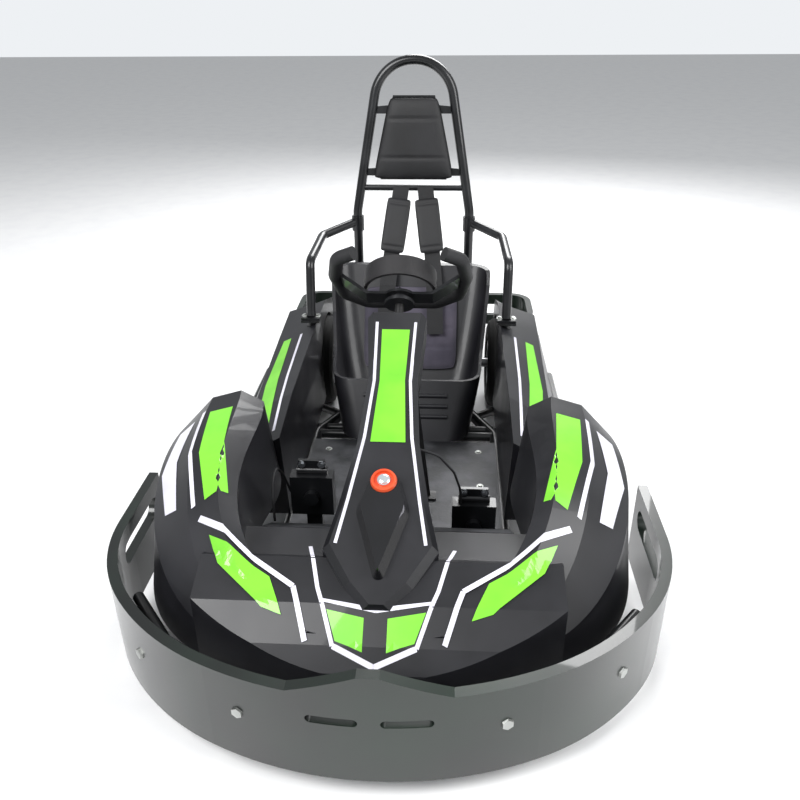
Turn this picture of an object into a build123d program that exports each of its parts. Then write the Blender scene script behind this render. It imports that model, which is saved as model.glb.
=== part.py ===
"""Compact electric rental go-kart with a wrap-round nose belt and a roll hoop.

X runs across the kart, Y backwards from the nose, Z up. The origin is on the
ground, under the middle of the footprint. All sizes are in millimetres.
"""
import os
from math import cos, radians, sin, sqrt

from build123d import *

os.makedirs("parts", exist_ok=True)

# Wheels and axles
front_axle_y = -458.0
wheelbase = 970.0
rear_axle_y = front_axle_y + wheelbase
front_tyre_r = 127.0
front_tyre_w = 114.0
front_wheel_x = 385.0
rear_tyre_r = 139.0
rear_tyre_w = 150.0
rear_wheel_x = 310.0
rim_r = 66.0
stub_r = 8.5
axle_r = 15.0
spin_fit = 0.05
seat_gap = 0.3

# Steering
kingpin_x = 292.0
kingpin_r = 6.0
yoke_half = 40.0
arm_r = 110.0
pitman_r = 48.0
column_tilt = 40.0
wheel_hub_y = 8.0
wheel_hub_z = 587.0
column_r = 10.0
pin_r = 4.0
rod_r = 5.0
eye_r = 11.0
grip_half_w = 152.0
grip_half_h = 112.0
grip_r = 16.0
hub_dish = 72.0

# Tube frame
tube_r = 15.0
cross_r = 13.0
tube_z = 66.0
rail_x = 250.0
rail_rear_x = 172.0
frame_rear_y = 720.0
frame_front_y = -620.0

# Nose belt and fairing
belt_half = 549.0
belt_reach = 424.0
belt_centre_y = -476.0
belt_rear_y = -292.0
belt_t = 20.0
belt_low = 42.0
belt_high = 229.0
crest_rise = 45.0
skin = 5.0
skirt_half = 492.0
skirt_reach = 388.0
skirt_centre_y = -438.0
skirt_low = 125.0
deck_y = -650.0
deck_z = 297.0

# Roll hoop
hoop_r = 14.0
hoop_y = 677.0
hoop_half = rail_rear_x
hoop_knee_z = 569.0
hoop_neck_half = 121.0
hoop_neck_y = 719.0
hoop_neck_z = 872.0
hoop_top_z = 996.0
hoop_top_y = 735.0
foot_x = 277.0
foot_y = 345.0
foot_z = 348.0

# Cockpit
floor_z = tube_z + tube_r + seat_gap
floor_t = 4.0
pedal_x = 174.0

# Rear
rear_bumper_y = 900.0
rear_bumper_half = 395.0
bumper_arm_x = 120.0
bumper_z = 172.0


def ellipse_y(x, half, reach, centre_y):
    """Front edge of an ellipse in plan, at a distance x from the middle."""
    return centre_y - reach * sqrt(max(0.0, 1.0 - (x / half) ** 2))


def tube(points, radius, bend):
    """Round bar along straight runs joined by tangent bends."""
    with BuildPart() as bar:
        with BuildLine() as path:
            if len(points) == 2:
                Line(*points)
            else:
                FilletPolyline(*points, radius=bend)
        with BuildSketch(Plane(origin=path.line @ 0, z_dir=path.line % 0)):
            Circle(radius)
        sweep()
    return bar.part


def both(shape):
    """A shape and its mirror image across the middle of the kart."""
    return [shape, mirror(shape, about=Plane.YZ)]


def weld(pieces):
    """One solid from pieces that run into each other."""
    whole = pieces[0]
    for piece in pieces[1:]:
        whole = whole + piece
    return whole


def save(piece, name):
    """Name the finished piece and write it."""
    piece.label = name
    export_step(piece, f"parts/{name}.step")


# Steering geometry: the column leans back from its foot to the hub
column_dir = Vector(0, cos(radians(column_tilt)), sin(radians(column_tilt)))
wheel_up = Vector(0, -sin(radians(column_tilt)), cos(radians(column_tilt)))
wheel_centre = Vector(0, wheel_hub_y, wheel_hub_z)
arm_y = front_axle_y - arm_r
column_length = (wheel_hub_y - arm_y - pitman_r * wheel_up.Y * -1) / column_dir.Y
column_foot = wheel_centre - column_dir * column_length
pitman_ball = column_foot + wheel_up * pitman_r

# Chassis: bent side rails, cross tubes, yokes, hoop sockets and carriers
rail_points = [
    (rail_rear_x, frame_rear_y, tube_z),
    (rail_rear_x, 330, tube_z),
    (rail_x, 180, tube_z),
    (rail_x, -400, tube_z),
    (175, frame_front_y, tube_z),
    (-175, frame_front_y, tube_z),
    (-rail_x, -400, tube_z),
    (-rail_x, 180, tube_z),
    (-rail_rear_x, 330, tube_z),
    (-rail_rear_x, frame_rear_y, tube_z),
]
# Cross tubes: place along the kart, half length, height
cross_tubes = [
    (frame_rear_y - tube_r, rail_rear_x, tube_z),
    (400.0, rail_rear_x, tube_z),
    (175.0, rail_x, tube_z),
    (-150.0, rail_x, tube_z),
    (front_axle_y, kingpin_x - 20, front_tyre_r - 35),
    (-500.0, 214.0, tube_z),
]
outrigger_y = [-60.0, 210.0]
side_tube_x = 380.0
socket_r = hoop_r + 5.0
socket_top = 130.0
carrier_t = 22.0
carrier_r = 40.0
yoke_lip = 8.0
yoke_depth = 34.0

frame_tubes = [tube(rail_points, tube_r, 60)]
frame_tubes += [tube([(-half, y, z), (half, y, z)], cross_r, 0) for y, half, z in cross_tubes]
frame_tubes += [tube([(-side_tube_x, y, tube_z), (side_tube_x, y, tube_z)], 12, 0) for y in outrigger_y]
frame_tubes += both(tube([(195, 285, tube_z), (foot_x, foot_y, tube_z), (foot_x, foot_y, foot_z - 5)], 12, 24))
frame_tubes += both(tube([(90, frame_front_y, tube_z), (90, frame_front_y, 279.5)], 7, 0))
frame_tubes += both(tube([
    (bumper_arm_x, frame_rear_y - tube_r, tube_z),
    (bumper_arm_x, 800, tube_z),
    (bumper_arm_x, 835, bumper_z),
    (bumper_arm_x, rear_bumper_y - belt_t - seat_gap, bumper_z),
], 11, 22))

welded_tubes = weld(frame_tubes)
with BuildPart() as chassis_frame:
    add(welded_tubes)
    with Locations((foot_x, foot_y, foot_z - 3), (-foot_x, foot_y, foot_z - 3)):
        Box(52, 52, 6)
    for side in (-1, 1):
        with BuildSketch(Plane.XY.offset(tube_z)):
            with Locations((side * hoop_half, hoop_y)):
                Circle(socket_r)
        extrude(amount=socket_top - tube_z)
        with BuildSketch(Plane.XY.offset(tube_z + tube_r)):
            with Locations((side * hoop_half, hoop_y)):
                Circle(hoop_r + 0.1)
        extrude(amount=socket_top, mode=Mode.SUBTRACT)
        with BuildSketch(Plane.YZ.offset(side * rail_rear_x - carrier_t / 2)):
            with Locations((rear_axle_y, rear_tyre_r)):
                Circle(carrier_r)
            with Locations((rear_axle_y, (rear_tyre_r + tube_z) / 2)):
                Rectangle(2 * carrier_r, rear_tyre_r - tube_z)
            with Locations((rear_axle_y, rear_tyre_r)):
                Circle(axle_r + spin_fit, mode=Mode.SUBTRACT)
        extrude(amount=carrier_t)
        with Locations((side * (kingpin_x - 3), front_axle_y, front_tyre_r)):
            Box(46, yoke_depth, 2 * yoke_half)
        with Locations((side * (kingpin_x + 3), front_axle_y, front_tyre_r)):
            Box(46, yoke_depth + 4, 2 * (yoke_half - yoke_lip), mode=Mode.SUBTRACT)
        with BuildSketch(Plane.XY.offset(front_tyre_r - 2 * yoke_half)):
            with Locations((side * kingpin_x, front_axle_y)):
                Circle(kingpin_r + spin_fit)
        extrude(amount=4 * yoke_half, mode=Mode.SUBTRACT)
    # Seats for the motor and the brake caliper
    with Locations((65, frame_rear_y - 25, tube_z + 15.7)):
        Box(120, 30, 10)
    with Locations((-rail_rear_x, rear_axle_y + 61, rear_tyre_r + 8)):
        Box(16, 54, 30)
    with Locations((-140.8, rear_axle_y + 78, rear_tyre_r + 8)):
        Box(51, 20, 30)
    # Bearing block for the column foot, on the front cross tube
    with BuildSketch(Plane(origin=column_foot + column_dir * 22, z_dir=column_dir)):
        Circle(column_r + 9)
    extrude(amount=24)
    with BuildSketch(Plane.YZ.offset(-6)):
        Polygon(
            (-512, tube_z),
            (-488, tube_z),
            (column_foot.Y + 42, column_foot.Z + 16),
            (column_foot.Y + 26, column_foot.Z + 10),
            align=None,
        )
    extrude(amount=12)
    with BuildSketch(Plane(origin=column_foot, z_dir=column_dir)):
        Circle(column_r + spin_fit)
    extrude(amount=120, mode=Mode.SUBTRACT)
save(chassis_frame.part, "chassis_frame")

# Steering post: two struts that carry the upper column bearing
post_s = 150.0
post_top = wheel_centre - column_dir * post_s
post_foot = Pos(70, -150, floor_z + floor_t + seat_gap + 2.5) * Box(44, 34, 5)
strut = tube([(70, -150, floor_z + floor_t + 4), (22, post_top.Y - 10, post_top.Z - 12)], 8, 0)
struts = weld(both(strut) + both(post_foot))
with BuildPart() as steering_post:
    add(struts)
    with BuildSketch(Plane(origin=post_top - column_dir * 14, z_dir=column_dir)):
        RectangleRounded(62, 38, 12)
    extrude(amount=28)
    with BuildSketch(Plane(origin=column_foot, z_dir=column_dir)):
        Circle(column_r + spin_fit)
    extrude(amount=900, mode=Mode.SUBTRACT)
save(steering_post.part, "steering_post")

# Steering column with the pitman arm at its foot
with BuildPart() as steering_column:
    with BuildSketch(Plane(origin=column_foot, z_dir=column_dir)):
        Circle(column_r)
    extrude(amount=column_length - hub_dish)
    with BuildSketch(Plane(origin=column_foot, x_dir=(-1, 0, 0), z_dir=column_dir)):
        Circle(16)
        with Locations((0, pitman_r)):
            Circle(14)
        with Locations((0, pitman_r / 2)):
            Rectangle(26, pitman_r)
    extrude(amount=8)
    with BuildSketch(Plane(origin=pitman_ball, z_dir=column_dir)):
        Circle(pin_r)
    extrude(amount=42)
save(steering_column.part, "steering_column")

# Steering wheel: dished plate, side grips and the arched band
wheel_plane = Plane(origin=wheel_centre, x_dir=(-1, 0, 0), z_dir=column_dir)
hub_plane = Plane(origin=wheel_centre - column_dir * hub_dish, x_dir=(-1, 0, 0), z_dir=column_dir)
# Grip path: across and up the wheel plane, from the right free end round the foot
grip_points = [
    (100, 104, 0),
    (140, 80, 0),
    (grip_half_w, 10, 0),
    (138, -70, 0),
    (84, -grip_half_h, 0),
    (-84, -grip_half_h, 0),
    (-138, -70, 0),
    (-grip_half_w, 10, 0),
    (-140, 80, 0),
    (-100, 104, 0),
]


def grip_form(radius):
    """Thick rim of the wheel, open at its top."""
    with BuildPart() as form:
        with BuildLine(wheel_plane) as path:
            FilletPolyline(*grip_points, radius=30)
        with BuildSketch(Plane(origin=path.line @ 0, z_dir=path.line % 0)):
            Circle(radius)
        sweep()
    return form.part


save(grip_form(grip_r), "steering_grips")
grip_clear = grip_form(grip_r + seat_gap)

with BuildPart() as steering_plate:
    with BuildSketch(hub_plane.offset(seat_gap)):
        Circle(34)
    extrude(amount=8)
    with BuildSketch(hub_plane.offset(8)):
        Circle(22)
    extrude(amount=11)
    with BuildSketch(hub_plane.offset(18 + seat_gap)):
        Circle(36)
        Rectangle(150, 42)
    extrude(amount=6)
    for side in (-1, 1):
        with BuildSketch(Plane(origin=wheel_centre, x_dir=(1, 0, 0), z_dir=wheel_up).offset(-22)):
            Polygon(
                (side * 60, -hub_dish + 18 + seat_gap),
                (side * 60, -hub_dish + 24 + seat_gap),
                (side * 72, -hub_dish + 24 + seat_gap),
                (side * 134, -2),
                (side * 140, -8),
                (side * 76, -hub_dish + 18 + seat_gap),
                align=None,
            )
        extrude(amount=44)
    add(grip_clear, mode=Mode.SUBTRACT)
save(steering_plate.part, "steering_plate")

band_r = 84.0
with BuildPart() as steering_band:
    with BuildSketch(wheel_plane.offset(-38.4)):
        Circle(band_r)
        Circle(band_r - 7, mode=Mode.SUBTRACT)
        with Locations((0, -band_r / 2 - 10)):
            Rectangle(2 * band_r, band_r, mode=Mode.SUBTRACT)
    extrude(amount=48.4)
save(steering_band.part, "steering_band")

# Knuckles: kingpin body, stub axle and steering arm
arm_z = front_tyre_r + 18
arm_end_x = kingpin_x - 6
knuckle_half = yoke_half - yoke_lip - 0.5
stub_end = front_wheel_x + 36
for side, name in ((1, "knuckle_right"), (-1, "knuckle_left")):
    with BuildPart() as knuckle:
        with BuildSketch(Plane.XY.offset(front_tyre_r - knuckle_half)):
            with Locations((side * kingpin_x, front_axle_y)):
                Circle(15)
        extrude(amount=2 * knuckle_half)
        with BuildSketch(Plane.XY.offset(front_tyre_r - yoke_half - 6)):
            with Locations((side * kingpin_x, front_axle_y)):
                Circle(kingpin_r)
        extrude(amount=2 * yoke_half + 12)
        with BuildSketch(Plane.YZ.offset(side * kingpin_x)):
            with Locations((front_axle_y, front_tyre_r)):
                Circle(13)
        extrude(amount=side * 26)
        with BuildSketch(Plane.YZ.offset(side * kingpin_x)):
            with Locations((front_axle_y, front_tyre_r)):
                Circle(stub_r)
        extrude(amount=side * (stub_end - kingpin_x))
        with BuildSketch(Plane.XY.offset(arm_z)):
            with Locations((side * kingpin_x, front_axle_y)):
                Circle(15)
            with Locations((side * arm_end_x, arm_y)):
                Circle(13)
            Polygon(
                (side * kingpin_x - 9, front_axle_y),
                (side * kingpin_x + 9, front_axle_y),
                (side * arm_end_x + 9, arm_y),
                (side * arm_end_x - 9, arm_y),
                align=None,
            )
        extrude(amount=9)
    save(knuckle.part, name)

# Tie rods: eye above the pitman arm, eye under the knuckle arm
eye_half = 7.0
rod_outer_z = arm_z - eye_half - 2 - seat_gap
for side, name, stack in ((1, "tie_rod_right", 16.0), (-1, "tie_rod_left", 30.6)):
    inner = pitman_ball + column_dir * stack
    outer = Vector(side * arm_end_x, arm_y, rod_outer_z)
    with BuildPart() as tie_rod:
        add(tube([inner, outer], rod_r, 0))
        with BuildSketch(Plane(origin=inner - column_dir * eye_half, z_dir=column_dir)):
            Circle(eye_r)
        extrude(amount=2 * eye_half)
        with BuildSketch(Plane.XY.offset(rod_outer_z - eye_half)):
            with Locations((outer.X, outer.Y)):
                Circle(eye_r)
        extrude(amount=2 * eye_half)
        with BuildSketch(Plane(origin=inner - column_dir * 2 * eye_half, z_dir=column_dir)):
            Circle(pin_r + spin_fit)
        extrude(amount=4 * eye_half, mode=Mode.SUBTRACT)
    save(tie_rod.part, name)

# Wheels: name, centre, radius, width, bore radius, hub half length
rim_flange = 8.0


def build_rim(x, y, z, width, bore_r, hub_half, side):
    """Turned rim with a dished disc and a hub."""
    half = width / 2 - 5
    inner_r = rim_r - 6
    with BuildPart() as rim:
        with BuildSketch(Plane.XY):
            with BuildLine():
                Polyline(
                    (-half, inner_r),
                    (-half, rim_r + rim_flange),
                    (-half + 4, rim_r + rim_flange),
                    (-half + 7, rim_r),
                    (half - 7, rim_r),
                    (half - 4, rim_r + rim_flange),
                    (half, rim_r + rim_flange),
                    (half, inner_r),
                    (15, inner_r),
                    (9, 24),
                    (hub_half, 24),
                    (hub_half, bore_r),
                    (-hub_half, bore_r),
                    (-hub_half, 24),
                    (1, 24),
                    (7, inner_r),
                    close=True,
                )
            make_face()
        revolve(axis=Axis.X)
        with BuildSketch(Plane.YZ.offset(-20)):
            with PolarLocations(42, 6):
                Circle(9)
        extrude(amount=50, mode=Mode.SUBTRACT)
    turned = rim.part if side > 0 else mirror(rim.part, about=Plane.YZ)
    return Pos(x, y, z) * turned


def build_tyre(x, y, z, radius, width):
    """Slick tyre, closed inside, seated between the rim's flanges."""
    half = width / 2
    with BuildPart() as tyre:
        with BuildSketch(Plane.XY):
            with BuildLine():
                Polyline(
                    (-half + 13, rim_r + seat_gap),
                    (-half + 11, rim_r + rim_flange + 3),
                    (-half + 1, rim_r + 18),
                    (-half, radius - 26),
                    (-half + 6, radius - 10),
                    (-half + 18, radius - 1),
                    (-half + 30, radius),
                    (half - 30, radius),
                    (half - 18, radius - 1),
                    (half - 6, radius - 10),
                    (half, radius - 26),
                    (half - 1, rim_r + 18),
                    (half - 11, rim_r + rim_flange + 3),
                    (half - 13, rim_r + seat_gap),
                    close=True,
                )
            make_face()
        revolve(axis=Axis.X)
    return Pos(x, y, z) * tyre.part


# Name, place across, axle place, radius, width, bore radius, hub half length
wheel_sets = [
    ("front", front_wheel_x, front_axle_y, front_tyre_r, front_tyre_w, stub_r + spin_fit, 34),
    ("rear", rear_wheel_x, rear_axle_y, rear_tyre_r, rear_tyre_w, axle_r + spin_fit, 40),
]
for word, x, y, radius, width, bore_r, hub_half in wheel_sets:
    rims = [build_rim(side * x, y, radius, width, bore_r, hub_half, side) for side in (1, -1)]
    if word == "rear":
        save(rims[0] + rims[1], "rear_rims")
    for rim, side, hand in zip(rims, (1, -1), ("right", "left")):
        if word == "front":
            save(rim, f"front_rim_{hand}")
        save(build_tyre(side * x, y, radius, radius, width), f"{word}_tyre_{hand}")

# Rear axle with the carrier of the brake disc
disc_x = -92.0
disc_r = 78.0
with BuildPart() as rear_axle:
    with BuildSketch(Plane.YZ.offset(-rear_wheel_x - 44)):
        with Locations((rear_axle_y, rear_tyre_r)):
            Circle(axle_r)
    extrude(amount=2 * (rear_wheel_x + 44))
save(rear_axle.part, "rear_axle")

with BuildPart() as brake_disc:
    with BuildSketch(Plane.YZ.offset(disc_x - 3)):
        with Locations((rear_axle_y, rear_tyre_r)):
            Circle(disc_r)
            Circle(axle_r + spin_fit, mode=Mode.SUBTRACT)
            with PolarLocations(50, 6):
                Circle(9, mode=Mode.SUBTRACT)
    extrude(amount=6)
    with BuildSketch(Plane.YZ.offset(disc_x - 16)):
        with Locations((rear_axle_y, rear_tyre_r)):
            Circle(26)
            Circle(axle_r + spin_fit, mode=Mode.SUBTRACT)
    extrude(amount=32)
save(brake_disc.part, "brake_disc")

with BuildPart() as brake_caliper:
    with Locations((disc_x, rear_axle_y + 64, rear_tyre_r + 8)):
        Box(46, 54, 70)
    with BuildSketch(Plane.YZ.offset(disc_x - 5)):
        with Locations((rear_axle_y, rear_tyre_r)):
            Circle(disc_r + 5)
    extrude(amount=10, mode=Mode.SUBTRACT)
save(brake_caliper.part, "brake_caliper")

# Motor block behind the axle, with its closed chain case
chain_x = -28.0
motor_y = 648.0
motor_z = 172.0
case_half = 13.0
with BuildPart() as motor:
    with Locations((chain_x + case_half + seat_gap + 80, motor_y, motor_z)):
        Box(160, 150, 170)
save(motor.part, "motor")
chain_plane = Plane(origin=(chain_x - case_half, (rear_axle_y + motor_y) / 2, (rear_tyre_r + motor_z) / 2),
                    x_dir=Vector(0, motor_y - rear_axle_y, motor_z - rear_tyre_r), z_dir=(1, 0, 0))
chain_run = sqrt((motor_y - rear_axle_y) ** 2 + (motor_z - rear_tyre_r) ** 2)
with BuildPart() as chain_case:
    with BuildSketch(chain_plane):
        SlotCenterToCenter(chain_run, 150)
    extrude(amount=2 * case_half)
    with BuildSketch(Plane.YZ.offset(chain_x - 40)):
        with Locations((rear_axle_y, rear_tyre_r)):
            Circle(axle_r + 6)
    extrude(amount=80, mode=Mode.SUBTRACT)
save(chain_case.part, "chain_case")

# Nose belt: a thick band round the nose with a raised middle and slots
bolt_x = [218.0, 420.0]
belt_span = 30
bolt_z = 150.0


def belt_plan(inset):
    """Plan of the nose belt, drawn in by an inset: arcs through points of an ellipse."""
    half, reach = belt_half - inset, belt_reach - inset

    def spot(turn):
        """Point of the ellipse at a turn from the right-hand end."""
        return half * cos(radians(turn)), belt_centre_y - reach * sin(radians(turn))

    with BuildSketch() as plan:
        with BuildLine():
            for turn in range(0, 180, belt_span):
                ThreePointArc(spot(turn), spot(turn + belt_span / 2), spot(turn + belt_span))
            Polyline((-half, belt_centre_y), (-half, belt_rear_y), (half, belt_rear_y), (half, belt_centre_y))
        make_face()
    return plan.sketch


outer_plan = belt_plan(0)
inner_plan = belt_plan(belt_t)
with BuildPart() as belt:
    with BuildSketch(Plane.XY.offset(belt_low)):
        add(outer_plan)
        add(inner_plan, mode=Mode.SUBTRACT)
        with Locations((0, belt_rear_y)):
            Rectangle(2 * (belt_half - belt_t), 2 * belt_t, mode=Mode.SUBTRACT)
    extrude(amount=belt_high + crest_rise - belt_low)
    with BuildSketch(Plane.XZ.offset(100)) as crest_cut:
        Polygon(
            (-belt_half - 10, belt_high),
            (-132, belt_high),
            (-18, belt_high + crest_rise),
            (18, belt_high + crest_rise),
            (132, belt_high),
            (belt_half + 10, belt_high),
            (belt_half + 10, belt_high + 99),
            (-belt_half - 10, belt_high + 99),
            align=None,
        )
    extrude(amount=900, mode=Mode.SUBTRACT)
    for side in (-1, 1):
        with BuildSketch(Plane.XZ.offset(600)):
            with Locations((side * 60, 176)):
                SlotOverall(84, 16)
        extrude(amount=400, mode=Mode.SUBTRACT)
        with BuildSketch(Plane.YZ.offset(side * 430)):
            with Locations((-425, 172)):
                SlotOverall(200, 46)
        extrude(amount=side * 200, mode=Mode.SUBTRACT)
save(belt.part, "nose_belt")

# Steel bar inside the belt, with a stud tube to each belt bolt
bar_r = 11.0
stud_gap = 0.7
bar_z = bolt_z + 9
bar_inset = belt_t + 24
arm_x = 120.0


def bar_y(x):
    """Line of the bar, a constant way inside the belt."""
    return ellipse_y(x, belt_half - bar_inset, belt_reach - bar_inset, belt_centre_y)


bar_x = [-470, -380, -240, -100, 100, 240, 380, 470]
nose_tubes = [tube([(x, bar_y(x), bar_z) for x in bar_x], bar_r, 30)]
for side in (-1, 1):
    for x in bolt_x:
        y_in = ellipse_y(x, belt_half - belt_t, belt_reach - belt_t, belt_centre_y)
        slope = Vector(side * x / belt_half**2, (y_in - belt_centre_y) / belt_reach**2, 0).normalized()
        face = Vector(side * x, y_in, bolt_z)
        nose_tubes.append(tube([face - slope * 26, face - slope * stud_gap], 8, 0))
    nose_tubes.append(tube([
        (side * arm_x, frame_front_y - tube_r - seat_gap, tube_z),
        (side * arm_x, bar_y(arm_x), tube_z),
        (side * arm_x, bar_y(arm_x), bar_z),
    ], bar_r - 2, 30))
nose_frame = weld(nose_tubes)
save(nose_frame, "nose_frame")

# Fairing: two fender forms and a nose deck, hollow below
# Fender sections: y, then x and z of foot, wall top, crest, shoulder, flank, skirt
fender_sections = [
    (-235.0, (266, 200), (288, 385), (335, 411), (400, 392), (470, 318), (486, 190)),
    (-400.0, (266, 190), (284, 372), (325, 402), (395, 378), (478, 300), (490, 150)),
    (-560.0, (256, 190), (272, 338), (306, 360), (368, 325), (440, 250), (464, 125)),
    (-680.0, (176, 160), (206, 282), (246, 292), (306, 250), (360, 204), (382, 125)),
    (-775.0, (60, 140), (84, 236), (112, 242), (150, 230), (206, 192), (236, 125)),
]


def shrink(corners, inset):
    """Corners of a section drawn in by an inset, open at the foot."""
    middle = sum(x for x, _ in corners) / len(corners)
    moved = []
    for place, (x, z) in enumerate(corners):
        drop = 0 if place in (0, len(corners) - 1) else inset
        moved.append((x + (inset if x < middle else -inset), z - drop))
    return moved


def fender(inset, low):
    """One fender form, drawn in by an inset and reaching down to low."""
    with BuildPart() as form:
        for y, *corners in fender_sections:
            corners = shrink(corners, inset)
            if inset > 0:
                corners[0] = (corners[0][0], low)
                corners[-1] = (corners[-1][0], low)
            with BuildSketch(Plane(origin=(0, y, 0), x_dir=(1, 0, 0), z_dir=(0, -1, 0))):
                Polygon(*corners, align=None)
        loft()
    return form.part


def skirt_prism(inset, low):
    """Plan ellipse of the skirt as a tall prism."""
    half, reach = skirt_half - inset, skirt_reach - inset
    with BuildPart() as prism:
        with BuildSketch(Plane.XY.offset(low)):
            with BuildLine():
                EllipticalCenterArc((0, skirt_centre_y), half, reach, start_angle=180, arc_size=180)
                Polyline((half, skirt_centre_y), (half, 0), (-half, 0), (-half, skirt_centre_y))
            make_face()
        extrude(amount=400)
    return prism.part


def deck(inset, low):
    """Sloping nose deck between the fenders."""
    limit = skirt_prism(inset, low)
    with BuildPart() as form:
        with BuildSketch(Plane.YZ.offset(-320)):
            Polygon(
                (-520, low),
                (-520, 262 - inset),
                (deck_y + 12, deck_z - 6 - inset),
                (deck_y, deck_z - inset),
                (-734, 268 - inset),
                (-790, 228 - inset),
                (-820 + inset, 196 - inset),
                (-826 + inset, low),
                align=None,
            )
        extrude(amount=640)
        add(limit, mode=Mode.INTERSECT)
    return form.part


outer_forms = both(fender(0, skirt_low)) + [deck(0, skirt_low)]
inner_forms = both(fender(skin, skirt_low - 20)) + [deck(skin, skirt_low - 20)]
outer_shape = weld(outer_forms)
inner_shape = weld(inner_forms)
with BuildPart() as front_fairing:
    add(outer_shape)
    add(inner_shape, mode=Mode.SUBTRACT)
save(front_fairing.part, "front_fairing")

# Console cover: long hollow beam over the column, wide at the nose
console_rear_y = -123.0
console_rear_z = 553.0
console_rise = 0.447
console_t = 4.0
# Sections: y, half width, depth of the side walls
console_sections = [
    (console_rear_y, 65.0, 62.0),
    (-280.0, 51.0, 84.0),
    (-430.0, 61.0, 110.0),
    (-560.0, 84.0, 110.0),
    (-640.0, 103.0, 100.0),
    (-705.0, 60.0, 70.0),
    (-742.0, 24.0, 40.0),
]


def console_top(y):
    """Height of the console's top line."""
    return console_rear_z + (y - console_rear_y) * console_rise


def console_form(inset, drop):
    """Console beam drawn in by an inset, its walls reaching lower by a drop."""
    with BuildPart() as form:
        for place, (y, half, depth) in enumerate(console_sections):
            at_y = y + (inset if place == len(console_sections) - 1 else 0)
            top = console_top(at_y)
            with BuildSketch(Plane(origin=(0, at_y, 0), x_dir=(1, 0, 0), z_dir=(0, -1, 0))):
                Polygon(
                    (-half + inset, top - depth - drop),
                    (-half + inset, top - 14),
                    (-half + 12, top - inset),
                    (half - 12, top - inset),
                    (half - inset, top - 14),
                    (half - inset, top - depth - drop),
                    align=None,
                )
        loft(ruled=True)
    return form.part


console_shell = console_form(0, 0) - console_form(console_t, 30) - deck(-seat_gap, skirt_low)
save(console_shell, "console_cover")

# Teardrop hump on the console with a recessed round start button
hump_y = -535.0
hump_rise = 26.0
button_r = 24.5
recess = 7.0
hump_plane = Plane(origin=(0, hump_y, console_top(hump_y) + seat_gap), x_dir=(1, 0, 0),
                   z_dir=(0, -console_rise, 1))
with BuildPart() as console_hump:
    with BuildSketch(hump_plane):
        Circle(34)
        with Locations((0, -48)):
            Circle(48)
        with Locations((0, -172)):
            Circle(11)
        make_hull()
    extrude(amount=hump_rise, taper=20)
    with BuildSketch(hump_plane.offset(hump_rise)):
        Circle(button_r + 1)
    extrude(amount=-recess, mode=Mode.SUBTRACT)
save(console_hump.part, "console_hump")

with BuildPart() as start_button:
    with BuildSketch(hump_plane.offset(hump_rise - recess + seat_gap)):
        Circle(button_r)
    extrude(amount=recess)
    with BuildSketch(hump_plane.offset(hump_rise)):
        Circle(button_r)
        Circle(17, mode=Mode.SUBTRACT)
    extrude(amount=5, taper=20)
    with BuildSketch(hump_plane.offset(hump_rise)):
        Circle(13)
    extrude(amount=6, taper=30)
save(start_button.part, "start_button")

# Floor tray with a toe board that runs up to the nose deck
tray_half = 246.0
tray_rear_y = 112.0
toe_y = -400.0
toe_top_y = -434.0
toe_top_z = 201.0
tray_front_y = -512.0
tray_front_z = 252.0
with BuildPart() as floor_tray:
    with BuildSketch(Plane.YZ.offset(-tray_half)):
        Polygon(
            (tray_rear_y, floor_z),
            (toe_y, floor_z),
            (toe_top_y, toe_top_z),
            (tray_front_y, tray_front_z),
            (tray_front_y, tray_front_z + floor_t + 1),
            (toe_top_y + 3, toe_top_z + floor_t),
            (toe_y + 3, floor_z + floor_t),
            (tray_rear_y, floor_z + floor_t),
            align=None,
        )
    extrude(amount=2 * tray_half)
    with Locations((0, -432, 208)):
        Box(70, 110, 90, mode=Mode.SUBTRACT)
save(floor_tray.part, "floor_tray")

# Bucket seat: outer form less the hollow and the sloping sides
seat_t = 9.0
seat_corner = 60.0
# Levels: height, half width, front, back
seat_levels = [
    (floor_z, 176.0, 118.0, 386.0),
    (250.0, 212.0, 212.0, 484.0),
    (440.0, 238.0, 318.0, 592.0),
]
rib_z = [140.0, 165.0, 190.0]


def seat_form(inset):
    """Leaning tub through rounded plans, drawn in by an inset."""
    with BuildPart() as form:
        for place, (z, half, front, back) in enumerate(seat_levels):
            lift = (inset, 0, 2 * inset)[place]
            with BuildSketch(Plane.XY.offset(z + lift)):
                with Locations((0, (front + back) / 2)):
                    RectangleRounded(2 * (half - inset), back - front - 2 * inset, seat_corner - inset)
        loft()
    return form.part


seat_outer = seat_form(0)
seat_hollow = seat_form(seat_t)
with BuildPart() as seat_shell:
    add(seat_outer)
    for z in rib_z:
        share = (z - floor_z) / (seat_levels[1][0] - floor_z)
        y = seat_levels[0][2] + share * (seat_levels[1][2] - seat_levels[0][2])
        with BuildSketch(Plane.YZ.offset(-115)):
            with Locations((y, z)):
                Circle(6)
        extrude(amount=230)
    add(seat_hollow, mode=Mode.SUBTRACT)
    with BuildSketch(Plane.YZ.offset(-300)):
        Polygon(
            (0, 226),
            (240, 226),
            (330, 262),
            (420, 338),
            (480, 404),
            (540, 430),
            (700, 446),
            (700, 700),
            (0, 700),
            align=None,
        )
    extrude(amount=600, mode=Mode.SUBTRACT)
save(seat_shell.part, "seat_shell")

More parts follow.
